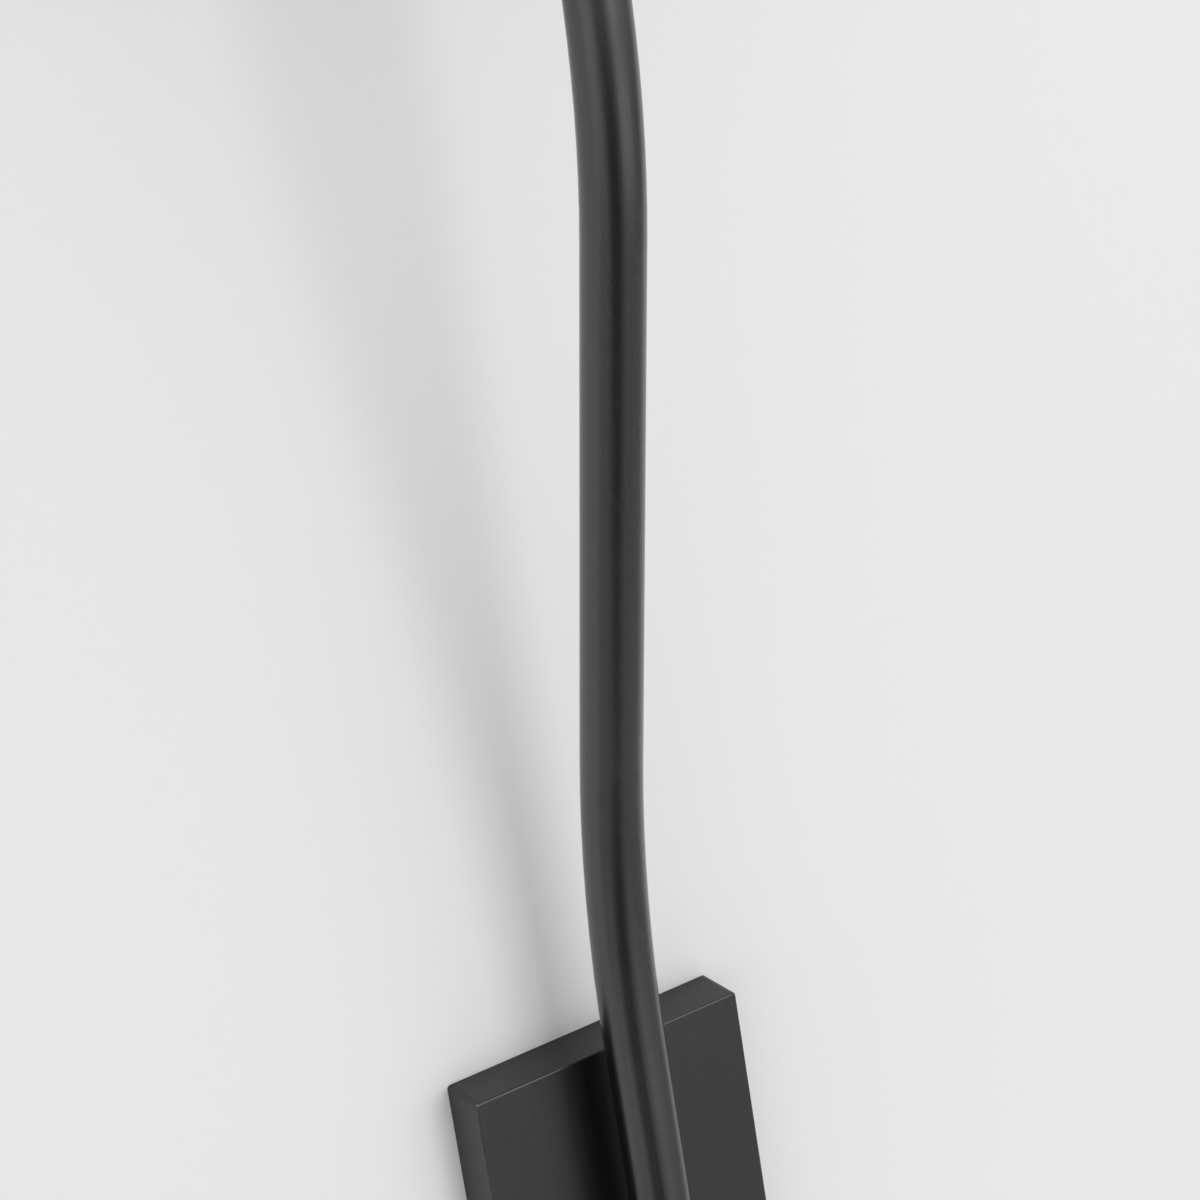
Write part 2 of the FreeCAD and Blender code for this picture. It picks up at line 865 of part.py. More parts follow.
def bulb_outline(inset):
    # The candle form: neck, widest place and rounded tip, moved in by inset
    low = bulb_contact_height + bulb_insulator_height + bulb_cap_height / 2
    neck_top = bulb_contact_height + bulb_insulator_height + bulb_cap_height
    belly = bulb_radius - inset
    neck = bulb_neck_radius - inset
    half = (neck_top + bulb_widest_height) / 2
    tip = bulb_length - inset
    shoulder = bulb_length - bulb_tip_radius
    side = (bulb_widest_height + shoulder) / 2
    steps = [
        (neck, low + inset),
        (neck, neck_top),
        (neck + (belly - neck) * bulb_neck_share, half, belly, bulb_widest_height),
        (belly * bulb_shoulder_share, side, bulb_tip_radius - inset, shoulder),
        dome_step(bulb_tip_radius - inset, shoulder, tip - shoulder),
    ]
    return (0, low + inset), steps


def bulb_glass():
    outside = turned_up(*bulb_outline(0), bulb_z, reach)
    inside = turned_up(*bulb_outline(bulb_glass_wall), bulb_z, reach)
    return outside.cut(inside)


NODES = {
    "mounting_strap": mounting_strap,
    "ground_screw": ground_screw,
    "backplate": backplate,
    "plate_screws": plate_screws,
    "arm_post": arm_post,
    "post_nipple": post_nipple,
    "lock_washer": lock_washer,
    "post_nut": post_nut,
    "lead_bushing": lead_bushing,
    "arm_tube": arm_tube,
    "tube_end_cap": tube_end_cap,
    "arm_top_plug": arm_top_plug,
    "socket_nipple": socket_nipple,
    "socket_cup": socket_cup,
    "cup_nut": cup_nut,
    "socket_sleeve": socket_sleeve,
    "lampholder_base": lampholder_base,
    "contact_carrier": contact_carrier,
    "terminal_screws": terminal_screws,
    "centre_contact": centre_contact,
    "screw_shell": screw_shell,
    "lampholder_skirt": lampholder_skirt,
    "line_lead": lambda: lead(-1),
    "neutral_lead": lambda: lead(1),
    "shade_ring_nut": shade_ring_nut,
    "shade_fitter": shade_fitter,
    "fitter_spokes": fitter_spokes,
    "shade_lower_ring": shade_lower_ring,
    "shade_upper_ring": shade_upper_ring,
    "shade_liner": shade_liner,
    "shade_fabric": shade_fabric,
    "shade_upper_binding": shade_upper_binding,
    "shade_lower_binding": shade_lower_binding,
    "bulb_contact": bulb_contact,
    "bulb_insulator": bulb_insulator,
    "bulb_cap": bulb_cap,
    "bulb_glass": bulb_glass,
}

os.makedirs("parts", exist_ok=True)
for name, make in NODES.items():
    shape = make()
    shape.exportStep("parts/" + name + ".step")
    bounds = shape.BoundBox
    low = (round(bounds.XMin, 1), round(bounds.YMin, 1), round(bounds.ZMin, 1))
    high = (round(bounds.XMax, 1), round(bounds.YMax, 1), round(bounds.ZMax, 1))
    print(name, len(shape.Solids), "solids", shape.isValid(), round(shape.Volume, 1), low, high)
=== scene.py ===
import math

import bmesh
import bpy
from mathutils import Matrix, Vector, noise


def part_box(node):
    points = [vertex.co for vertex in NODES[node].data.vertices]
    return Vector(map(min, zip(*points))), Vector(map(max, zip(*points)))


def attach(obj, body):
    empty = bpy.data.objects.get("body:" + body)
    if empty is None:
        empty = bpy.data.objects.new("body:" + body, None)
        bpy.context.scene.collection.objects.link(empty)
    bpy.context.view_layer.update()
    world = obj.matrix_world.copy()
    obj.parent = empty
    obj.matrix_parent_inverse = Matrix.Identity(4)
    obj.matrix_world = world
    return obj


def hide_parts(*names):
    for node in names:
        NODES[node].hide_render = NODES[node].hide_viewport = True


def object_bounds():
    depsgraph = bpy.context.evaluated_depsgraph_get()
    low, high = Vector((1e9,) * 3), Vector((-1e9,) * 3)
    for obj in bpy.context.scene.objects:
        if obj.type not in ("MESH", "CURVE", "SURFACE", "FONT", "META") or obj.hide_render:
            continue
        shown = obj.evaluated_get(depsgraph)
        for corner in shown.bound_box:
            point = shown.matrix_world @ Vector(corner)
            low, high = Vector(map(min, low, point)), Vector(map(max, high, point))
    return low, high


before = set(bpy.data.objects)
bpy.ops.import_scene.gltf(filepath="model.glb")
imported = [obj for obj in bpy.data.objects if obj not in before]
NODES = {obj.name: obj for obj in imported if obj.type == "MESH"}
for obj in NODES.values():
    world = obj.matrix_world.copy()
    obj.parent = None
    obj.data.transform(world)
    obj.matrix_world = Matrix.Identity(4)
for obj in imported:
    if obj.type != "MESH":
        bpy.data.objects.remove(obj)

# Looks of the wall sconce: finishes, crisp backplate, linen shade, threads, wall, light and camera.
# Lengths are in metres. Upright round parts are described about their own axis by radius, height and angle.

cad_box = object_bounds()

# Camera, fitted to the photograph's edges: direction, tilt, distance from the top middle of the backplate,
# shifts to the right and upwards in the picture, and lens and sensor in millimetres
CAMERA_AZIMUTH = math.radians(-29.404)
CAMERA_ELEVATION = math.radians(23.215)
CAMERA_ROLL = math.radians(-8.924)
CAMERA_DISTANCE = 2.0137
CAMERA_SIDE = 0.0081
CAMERA_RISE = 0.1551
CAMERA_LENS = 167.29
CAMERA_SENSOR = 36.0

# Wall and floor: the slit between sconce and wall, sizes, and how far the backplate laps over the wall
WALL_GAP = 0.0001
WALL_HALF_WIDTH = 3.0
WALL_HEIGHT = 2.2
FLOOR_DROP = 1.45
FLOOR_REACH = 1.25
PLATE_COVER = 0.001

# Paint of wall and floor: tone, scale and height of its grain, its surface, and wide patches in its tone
WALL_PAINT = dict(tone=0.825, grain=320.0, relief=0.0002)
FLOOR_PAINT = dict(tone=0.72, grain=120.0, relief=0.0003)
PAINT_SURFACE = {"Roughness": 0.9, "Specular IOR Level": 0.1}
PAINT_BUMP = 0.4
PATCH_SCALE = 1.5
PATCH_DETAIL = 2.0
PATCH_SHADES = (0.985, 1.01)

# Lamps: direction seen from the wall in degrees, distance, size and radiance. The low panel is dim and
# close, and only shows as a reflection in the sconce's satin metal.
LAMPS = {
    "main_light": dict(azimuth=12.4, elevation=5.5, distance=2.6, width=1.3, height=1.38, radiance=2.9),
    "low_panel": dict(
        azimuth=24.0, elevation=-22.7, distance=0.98, width=0.70, height=0.24, radiance=0.46,
        only_gloss=True,
    ),
}

# The room: its brightness by the sine of a direction's elevation, and by its azimuth in degrees. The second
# counts in full below the lower sine of EYE_LEVEL, and not at all above the upper one.
ROOM_BY_HEIGHT = (
    (-1.0, 0.46), (-0.77, 0.53), (-0.5, 0.92), (-0.3, 1.18),
    (0.0, 1.32), (0.25, 1.00), (0.6, 0.60), (1.0, 0.50),
)
ROOM_BY_AZIMUTH = (
    (-180, 1.0), (-96, 1.0), (-86, 0.92), (-66, 0.94), (-54, 0.55),
    (-42, 0.18), (-16, 0.14), (2, 0.60), (20, 0.93), (30, 0.77),
    (56, 0.62), (85, 0.31), (91, 0.31), (93, 1.0), (180, 1.0),
)
EYE_LEVEL = (-0.52, 0.1)

# Noise in the finishes: the part of its range that is used, its make-up, soft blotches and fine grain
NOISE_MIDDLE = (0.3, 0.7)
NOISE_DETAIL = 4.0
NOISE_ROUGHNESS = 0.55
BLOTCH_SCALE = 25.0
BLOTCH_DETAIL = 3.0
GRAIN_DETAIL = 5.0
GRAIN_RELIEF = 0.00001
GRAIN_BUMP = 0.5
EVEN = (1, 1, 1)

# Finishes: colour in linear light, how far it varies, range of roughness, scale of the grain, and for
# metals their metallic share. A small number in stretch draws the grain out along that axis, and relief is
# its height.
FINISHES = {
    "bronze_arm": dict(
        color=(0.0908, 0.0910, 0.0912), contrast=0.04, rough=(0.24, 0.28), grain=700.0, metal=1.0,
        stretch=(1, 1, 0.015), relief=0.0000018,
    ),
    "bronze_plate": dict(
        color=(0.0592, 0.0594, 0.0596), contrast=0.06, rough=(0.31, 0.38), grain=700.0, metal=1.0,
        stretch=(1, 1, 0.03), relief=0.000005,
    ),
    "zinc_steel": dict(
        color=(0.55, 0.56, 0.57), contrast=0.10, rough=(0.28, 0.42), grain=600.0, metal=1.0,
        stretch=(1, 1, 0.2),
    ),
    "brass": dict(color=(0.68, 0.50, 0.22), contrast=0.08, rough=(0.20, 0.32), grain=600.0, metal=1.0),
    "nickel_cap": dict(color=(0.62, 0.61, 0.58), contrast=0.06, rough=(0.20, 0.30), grain=600.0, metal=1.0),
    "green_screw": dict(color=(0.04, 0.24, 0.09), contrast=0.15, rough=(0.3, 0.42), grain=500.0, metal=0.6),
    "black_phenolic": dict(color=(0.020, 0.020, 0.021), contrast=0.20, rough=(0.34, 0.46), grain=700.0),
    "white_plastic": dict(color=(0.78, 0.78, 0.76), contrast=0.03, rough=(0.35, 0.45), grain=500.0),
    "socket_ceramic": dict(color=(0.80, 0.79, 0.76), contrast=0.04, rough=(0.45, 0.60), grain=500.0),
    "black_lead": dict(color=(0.015, 0.015, 0.016), contrast=0.12, rough=(0.36, 0.46), grain=500.0),
    "white_lead": dict(color=(0.74, 0.74, 0.72), contrast=0.12, rough=(0.36, 0.46), grain=500.0),
    "white_wire": dict(color=(0.78, 0.78, 0.77), contrast=0.03, rough=(0.30, 0.42), grain=500.0),
    "shade_liner": dict(color=(0.80, 0.79, 0.76), contrast=0.03, rough=(0.48, 0.60), grain=400.0),
    "black_glass": dict(color=(0.012, 0.012, 0.014), contrast=0.20, rough=(0.10, 0.18), grain=400.0),
    "opal_glass": dict(color=(0.86, 0.85, 0.82), contrast=0.02, rough=(0.16, 0.24), grain=300.0),
}

# Paler bronze along the backplate's edges, partly wear and partly a painted highlight, and a painted glint
# with wear at its front corners; and the leads' bare copper ends
EDGE_WEAR_HIGHLIGHT_WIDTH = 0.0012
EDGE_WEAR_HIGHLIGHT_COLOR = (0.107, 0.106, 0.105)
EDGE_WEAR_HIGHLIGHT_SCALE = 160.0
EDGE_WEAR_HIGHLIGHT_SHARES = (0.4, 1.0)
# painted glint at the backplate's front corners, as if worn bare
CORNER_GLINT_WEAR_COLOR = (0.34, 0.335, 0.33)
COPPER = (0.72, 0.36, 0.20)
LEAD_BARE_FROM = -0.005

# Cloth: colour, how far it varies, distance between threads, depth of the weave, and scale of the thick and
# thin places in the threads, its slubs
CLOTHS = {
    "linen": dict(color=(0.80, 0.765, 0.69), contrast=0.11, pitch=0.00055, depth=0.00016, slub=900.0),
    "linen_tape": dict(color=(0.776, 0.742, 0.669), contrast=0.06, pitch=0.0004, depth=0.0001, slub=1300.0),
}

# Weave: radius at which it is unrolled, how far slubs are drawn out, and how much the crossing threads, the
# slubs and wide clouds count in relief and in tone
WEAVE_RADIUS = 0.0875
SLUB_STRETCH = 0.06
SLUB_DETAIL = 3.0
CLOUD_SCALE = 9.0
CLOUD_DETAIL = 3.0
CROSSING_RELIEF = 0.30
SLUB_RELIEF = 0.90
WEAVE_BUMP = 0.7
SLUB_TONE = 0.42
CLOUD_TONE = 0.16
CLOTH_ROUGHNESS = (0.78, 0.92)
CLOTH_SURFACE = {"Specular IOR Level": 0.25, "Sheen Weight": 0.25, "Sheen Roughness": 0.5}

# Which nodes have which finish
NODES_BY_FINISH = {
    "bronze_arm": ("arm_tube", "tube_end_cap", "arm_top_plug", "arm_post", "socket_cup", "socket_sleeve"),
    "bronze_plate": ("backplate", "plate_screws"),
    "zinc_steel": ("mounting_strap", "post_nipple", "lock_washer", "post_nut", "socket_nipple", "cup_nut"),
    "brass": ("terminal_screws", "centre_contact", "screw_shell", "bulb_contact"),
    "nickel_cap": ("bulb_cap",),
    "green_screw": ("ground_screw",),
    "black_phenolic": ("lampholder_base", "lampholder_skirt", "shade_ring_nut"),
    "white_plastic": ("lead_bushing",),
    "socket_ceramic": ("contact_carrier",),
    "black_lead": ("line_lead",),
    "white_lead": ("neutral_lead",),
    "white_wire": ("shade_fitter", "fitter_spokes", "shade_upper_ring", "shade_lower_ring"),
    "shade_liner": ("shade_liner",),
    "black_glass": ("bulb_insulator",),
    "opal_glass": ("bulb_glass",),
    "linen": ("shade_fabric",),
    "linen_tape": ("shade_upper_binding", "shade_lower_binding"),
}

# Backplate: radius of the crisp corners in front view, and the rounding of its front edges
PLATE_CORNER = 0.0009
PLATE_EDGE = 0.0008

# Linen shade: the lapped seam with steps across its folded edge in shares of the fold, the cloth's uneven
# face, and steps of the mesh
SEAM_ANGLE = math.radians(90.0)
SEAM_WIDTH = 0.012
SEAM_RISE = 0.00045
SEAM_FOLD = 0.0009
SEAM_FOLD_STEPS = (-0.5, 0.0, 0.5, 1.0, 1.5)
LAP_APPROACH_WIDTHS = 2
LINEN_UNEVEN = 0.00006
LINEN_UNEVEN_ROUND = 9.0
LINEN_UNEVEN_UP = 60.0
LINEN_RINGS = 28
ROUND_STEPS = 288

# Tape rolled over the shade's edges: its section, the wander of its edge, its lap, and the wire inside it
TAPE_THICKNESS = 0.0006
TAPE_CLEARANCE = 0.0001
TAPE_OUTER = 0.010
TAPE_INNER = 0.005
TAPE_FIXED = 0.002
TAPE_WANDER = 0.00022
TAPE_WANDER_ROUND = 6.0
TAPE_WANDER_UP = 150.0
TAPE_PUCKER = 0.3
TAPE_LAP_ANGLE = math.radians(102.0)
TAPE_LAP = 0.00035
TAPE_LAP_WIDTH = 0.009
TAPE_OUTSIDE_SHARES = (1.0, 0.75, 0.5, 0.25, 0.1, 0.0)
TAPE_INSIDE_SHARES = (0.5, 1.0)
TAPE_CORNER_STEPS = 4
TAPE_WIRE_STEPS = 8
UPPER_TAPE_PHASE = 5.0
LOWER_TAPE_PHASE = 1.0
WIRE_RADIUS = 0.00125
WIRE_INSET = 0.00285

# Screw threads
SKIRT_PITCH = 0.0032
SKIRT_THREAD_DEPTH = 0.0007
SKIRT_LIP = 0.001
SKIRT_LIP_SHARE = 0.3
SKIRT_PLAIN = 0.002
SHELL_PITCH = 0.0036
SHELL_THREAD_DEPTH = 0.0005
SHELL_PLAIN_LOWER = 0.004
SHELL_PLAIN_UPPER = 0.002
CAP_THREAD_DEPTH = 0.00045
CAP_CHAMFER = 0.0022
CAP_WALL = 0.0004
CAP_THINNING = 0.0001
CAP_COLLAR = 0.005
THREAD_STEPS = 14
THREAD_ANGLES = 96
THREAD_FADE = 0.0012

# Brazing between post and arm, and welds between the shade's wires and fitter ring
POST_RADIUS = 0.008
BRAZE_RADIUS = 0.0008
BRAZE_SIDES = 12
FITTER_WELD_INSET = 0.0015
FIRST_SPOKE_ANGLE = math.radians(-90.0)
SPOKE_COUNT = 3
WELD_LENGTH = 0.0036
WELD_RADIUS = 0.0017
WELD_RINGS = 9
WELD_SIDES = 16
LUMP_SCALE = 900.0
LUMP_SHARE = 0.12

# Meshes: the angle from which an edge shows as sharp, and the distance within which points are level
SHARP_ANGLE = math.radians(40.0)
SAME_LEVEL = 0.00001
UPWARD = Vector((0, 0, 1))


# Shader nodes

def node_tree(name):
    material = bpy.data.materials.new(name)
    material.use_nodes = True
    tree = material.node_tree
    return material, tree, tree.nodes["Principled BSDF"]


def add(tree, kind, **values):
    node = tree.nodes.new(kind)
    for key, value in values.items():
        setattr(node, key, value)
    return node


def set_inputs(node, values):
    for name, value in values.items():
        node.inputs[name].default_value = value


def math_node(tree, operation, *sources):
    """A Math node; each source is a number or a socket."""
    node = add(tree, "ShaderNodeMath", operation=operation)
    for index, source in enumerate(sources):
        if isinstance(source, (int, float)):
            node.inputs[index].default_value = source
        else:
            tree.links.new(source, node.inputs[index])
    return node.outputs[0]


def weighted(tree, first, first_share, second, second_share):
    """The sum of two sockets, each times its share."""
    parts = [math_node(tree, "MULTIPLY", *part) for part in ((first, first_share), (second, second_share))]
    return math_node(tree, "ADD", *parts)


def remap(tree, source, from_range, to_range, smooth=False):
    node = add(tree, "ShaderNodeMapRange")
    if smooth:
        node.interpolation_type = "SMOOTHSTEP"
    names = ("From Min", "From Max", "To Min", "To Max")
    set_inputs(node, dict(zip(names, (*from_range, *to_range))))
    tree.links.new(source, node.inputs["Value"])
    return node.outputs["Result"]


def spread(tree, source, low, high):
    """Maps the middle of a noise's range to low and high."""
    return remap(tree, source, NOISE_MIDDLE, (low, high))


def object_coordinates(tree):
    return add(tree, "ShaderNodeTexCoord").outputs["Object"]


def object_axes(tree):
    parts = add(tree, "ShaderNodeSeparateXYZ")
    tree.links.new(object_coordinates(tree), parts.inputs[0])
    return parts.outputs


def stretched_noise(tree, scale, stretch=EVEN, detail=NOISE_DETAIL, source=None):
    """Noise in the object's own coordinates, drawn out along the axes with small stretch values."""
    mapping = add(tree, "ShaderNodeMapping")
    mapping.inputs["Scale"].default_value = [scale * share for share in stretch]
    tree.links.new(source or object_coordinates(tree), mapping.inputs["Vector"])
    texture = add(tree, "ShaderNodeTexNoise")
    set_inputs(texture, {"Scale": 1.0, "Detail": detail, "Roughness": NOISE_ROUGHNESS})
    tree.links.new(mapping.outputs["Vector"], texture.inputs["Vector"])
    return texture.outputs["Fac"]


def tint(tree, share, dark, light):
    """A mix of two colours; each is three numbers or a socket."""
    node = add(tree, "ShaderNodeMix", data_type="RGBA")
    tree.links.new(share, node.inputs["Factor"])
    sockets = [socket for socket in node.inputs if socket.type == "RGBA"]
    for socket, color in zip(sockets, (dark, light)):
        if isinstance(color, tuple):
            socket.default_value = (*color, 1.0)
        else:
            tree.links.new(color, socket)
    return next(socket for socket in node.outputs if socket.type == "RGBA")


def varied(tree, pattern, color, dark_share, light_share):
    """The colour, from a darker to a paler shade of itself, as the pattern goes."""
    dark, light = [tuple(channel * share for channel in color) for share in (dark_share, light_share)]
    return tint(tree, spread(tree, pattern, 0.0, 1.0), dark, light)


def bump(tree, shader, height, distance, strength):
    node = add(tree, "ShaderNodeBump")
    set_inputs(node, {"Strength": strength, "Distance": distance})
    tree.links.new(height, node.inputs["Height"])
    tree.links.new(node.outputs["Normal"], shader.inputs["Normal"])


# Finishes

def finish_of(name, color, contrast, rough, grain, metal=0.0, stretch=EVEN, relief=GRAIN_RELIEF):
    """A surface with soft blotches and fine grain in its colour, and the grain in roughness and relief."""
    material, tree, shader = node_tree(name)
    blotches = stretched_noise(tree, BLOTCH_SCALE, detail=BLOTCH_DETAIL)
    fine = stretched_noise(tree, grain, stretch, GRAIN_DETAIL)
    both = math_node(tree, "MULTIPLY", math_node(tree, "ADD", blotches, fine), 0.5)
    tree.links.new(varied(tree, both, color, 1 - contrast, 1 + contrast), shader.inputs["Base Color"])
    tree.links.new(spread(tree, fine, *rough), shader.inputs["Roughness"])
    bump(tree, shader, fine, relief, GRAIN_BUMP)
    shader.inputs["Metallic"].default_value = metal
    return material


def overlay(material, mask, color):
    """Lays a second colour over a finish where the mask is 1."""
    tree = material.node_tree
    socket = tree.nodes["Principled BSDF"].inputs["Base Color"]
    tree.links.new(tint(tree, mask, socket.links[0].from_socket, color), socket)


def paint_edge_wear_and_highlight(material, node):
    """Paler edges on a box-shaped node, wear with painted highlight, and painted glints at its front
    corners.
    """
    tree = material.node_tree
    low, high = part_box(node)
    x, y, z = object_axes(tree)
    side = remap(tree, math_node(tree, "ABSOLUTE", x), (high.x - EDGE_WEAR_HIGHLIGHT_WIDTH, high.x), (0, 1), smooth=True)
    front = remap(tree, y, (low.y, low.y + EDGE_WEAR_HIGHLIGHT_WIDTH), (1, 0), smooth=True)
    end = remap(tree, math_node(tree, "ABSOLUTE", z), (high.z - EDGE_WEAR_HIGHLIGHT_WIDTH, high.z), (0, 1), smooth=True)
    pairs = [math_node(tree, "MULTIPLY", *pair) for pair in ((side, front), (front, end), (side, end))]
    edges = math_node(tree, "MAXIMUM", math_node(tree, "MAXIMUM", pairs[0], pairs[1]), pairs[2])
    uneven_mark = spread(tree, stretched_noise(tree, EDGE_WEAR_HIGHLIGHT_SCALE), *EDGE_WEAR_HIGHLIGHT_SHARES)
    # painted highlight along the rounded edges, mixed with patchy wear
    overlay(material, math_node(tree, "MULTIPLY", edges, uneven_mark), EDGE_WEAR_HIGHLIGHT_COLOR)
    # painted glint at the front corners: much paler bronze, as if worn bare
    overlay(material, math_node(tree, "MULTIPLY", pairs[0], end), CORNER_GLINT_WEAR_COLOR)


def bare_end(material):
    """Turns insulation into bare copper where the wire ends near the wall."""
    tree = material.node_tree
    bare = math_node(tree, "GREATER_THAN", object_axes(tree)["Y"], LEAD_BARE_FROM)
    overlay(material, bare, COPPER)
    tree.links.new(bare, tree.nodes["Principled BSDF"].inputs["Metallic"])


def woven(name, color, contrast, pitch, depth, slub):
    """Plain weave round an upright axis: threads over and under one another, with thick and thin places."""
    material, tree, shader = node_tree(name)
    axes = object_axes(tree)
    angle = math_node(tree, "ARCTAN2", axes["Y"], axes["X"])
    along = math_node(tree, "MULTIPLY", angle, WEAVE_RADIUS)
    unrolled = add(tree, "ShaderNodeCombineXYZ")
    tree.links.new(along, unrolled.inputs["X"])
    tree.links.new(axes["Z"], unrolled.inputs["Z"])
    weft = stretched_noise(tree, slub, (SLUB_STRETCH, 1, 1), SLUB_DETAIL, unrolled.outputs[0])
    warp = stretched_noise(tree, slub, (1, 1, SLUB_STRETCH), SLUB_DETAIL, unrolled.outputs[0])
    slubs = math_node(tree, "ADD", weft, warp)
    turns = [math_node(tree, "MULTIPLY", place, math.pi / pitch) for place in (along, axes["Z"])]
    crossing = math_node(tree, "MULTIPLY", *[math_node(tree, "SINE", turn) for turn in turns])
    bump(tree, shader, weighted(tree, crossing, CROSSING_RELIEF, slubs, SLUB_RELIEF), depth, WEAVE_BUMP)
    clouds = stretched_noise(tree, CLOUD_SCALE, detail=CLOUD_DETAIL)
    pattern = weighted(tree, slubs, SLUB_TONE, clouds, CLOUD_TONE)
    tree.links.new(varied(tree, pattern, color, 1 - contrast, 1 + contrast), shader.inputs["Base Color"])
    tree.links.new(spread(tree, weft, *CLOTH_ROUGHNESS), shader.inputs["Roughness"])
    set_inputs(shader, CLOTH_SURFACE)
    return material


def paint_nodes():
    for finish, names in NODES_BY_FINISH.items():
        for name in names:
            mesh = NODES[name].data
            mesh.materials.clear()
            mesh.materials.append(MATERIALS[finish])


MATERIALS = {name: finish_of(name, **values) for name, values in FINISHES.items()}
MATERIALS.update({name: woven(name, **values) for name, values in CLOTHS.items()})
# paints a highlight with wear along the backplate's edges, and a glint at its front corners
paint_edge_wear_and_highlight(MATERIALS["bronze_plate"], "backplate")
bare_end(MATERIALS["black_lead"])
bare_end(MATERIALS["white_lead"])
paint_nodes()


# Meshes

def link(piece):
    bpy.context.scene.collection.objects.link(piece)
    return piece


def mesh_object(name, corners, faces, finish, place=(0, 0, 0)):
    mesh = bpy.data.meshes.new(name)
    mesh.from_pydata(corners, [], faces)
    shape = bmesh.new()
    shape.from_mesh(mesh)
    bmesh.ops.recalc_face_normals(shape, faces=shape.faces)
    shape.to_mesh(mesh)
    shape.free()
    mesh.shade_smooth()
    mesh.set_sharp_from_angle(angle=SHARP_ANGLE)
    mesh.materials.append(MATERIALS[finish])
    piece = bpy.data.objects.new(name, mesh)
    piece.location = place
    return link(piece)


def join_rows(rows, closed_rows=True):
    """Quads between neighbouring closed rows of corners; the last row meets the first where asked."""
    count = len(rows[0])
    faces = []
    for row in range(len(rows) if closed_rows else len(rows) - 1):
        here = row * count
        there = (row + 1) % len(rows) * count
        for column in range(count):
            after = (column + 1) % count
            faces.append((here + column, here + after, there + after, there + column))
    return [corner for row in rows for corner in row], faces


def turned(name, profile, angles, finish, place, shift):
    """A closed profile of (radius, height) pairs carried round an upright axis; shift moves each point."""
    rows = []
    for angle in angles:
        row = []
        for index, (radius, height) in enumerate(profile):
            radius, height = shift(index, radius, height, angle)
            row.append((radius * math.cos(angle), radius * math.sin(angle), height))
        rows.append(row)
    corners, faces = join_rows(rows)
    return mesh_object(name, corners, faces, finish, place)


def even_angles(count):
    return [2 * math.pi * index / count for index in range(count)]


def smooth_step(value, low, high):
    share = min(max((value - low) / (high - low), 0.0), 1.0)
    return share * share * (3 - 2 * share)


def axis_of(node):
    """Where the axis of an upright round node stands, at height 0."""
    low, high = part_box(node)
    return Vector(((low.x + high.x) / 2, (low.y + high.y) / 2, 0))


def foot_of(node):
    """The lowest point on the axis of an upright round node."""
    return axis_of(node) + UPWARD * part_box(node)[0].z


def node_length(node):
    low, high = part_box(node)
    return high.z - low.z


def outer_radius(node):
    low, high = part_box(node)
    return (high.x - low.x) / 2


def rim_radii(node, at_top=False):
    """Smallest and largest radius of the node's mesh in its lowest or highest plane."""
    low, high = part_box(node)
    level = high.z if at_top else low.z
    axis = axis_of(node)
    points = [vertex.co for vertex in NODES[node].data.vertices]
    rim = [at for at in points if math.isclose(at.z, level, abs_tol=SAME_LEVEL)]
    radii = [(Vector((at.x, at.y, 0)) - axis).length for at in rim]
    return min(radii), max(radii)


# Backplate

def crisp_backplate():
    """The backplate with its own faces and edges, and tighter corners in front view than its solid has."""
    mesh = NODES["backplate"].data.copy()
    normals = [corner.vector.copy() for corner in mesh.corner_normals]
    low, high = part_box("backplate")
    front = [vertex.co for vertex in mesh.vertices if vertex.co.y < low.y + SAME_LEVEL]
    straight_x = max(at.x for at in front if at.z > high.z - PLATE_EDGE - SAME_LEVEL)
    straight_z = max(at.z for at in front if at.x > high.x - PLATE_EDGE - SAME_LEVEL)
    centre_shift = high.x - straight_x - PLATE_CORNER
    for vertex in mesh.vertices:
        across = abs(vertex.co.x) - straight_x
        along = abs(vertex.co.z) - straight_z
        if across > -SAME_LEVEL and along > -SAME_LEVEL:
            distance = math.hypot(across, along)
            shrink = (distance - centre_shift) / distance
            vertex.co.x = math.copysign(straight_x + centre_shift + across * shrink, vertex.co.x)
            vertex.co.z = math.copysign(straight_z + centre_shift + along * shrink, vertex.co.z)
    mesh.normals_split_custom_set(normals)
    piece = link(bpy.data.objects.new("crisp_backplate", mesh))
    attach(piece, "fixture")
    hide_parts("backplate")


# Shade: linen laid on the liner, lapped on the wall's side, and tape rolled over both edges

SHADE_PLACE = foot_of("shade_fabric")
SHADE_HEIGHT = node_length("shade_fabric")
SHADE_LOWER = rim_radii("shade_fabric")
SHADE_UPPER = rim_radii("shade_fabric", at_top=True)


def shade_angles():
    """Even steps round the shade, with close steps at the folded edge of the lap."""
    fold = SEAM_ANGLE + SEAM_WIDTH / SHADE_LOWER[1]
    close = [fold + step * SEAM_FOLD / SHADE_LOWER[1] for step in SEAM_FOLD_STEPS]
    return sorted(even_angles(ROUND_STEPS) + close)


def lap(angle, start, width, rise):
    """Height of a lap: it comes up softly and ends in a folded edge."""
    distance = (angle - start) * SHADE_LOWER[1]
    approach = smooth_step(distance, -LAP_APPROACH_WIDTHS * width, 0)
    return rise * approach * (1 - smooth_step(distance, width, width + SEAM_FOLD))


def seam(angle):
    return lap(angle, SEAM_ANGLE, SEAM_WIDTH, SEAM_RISE)


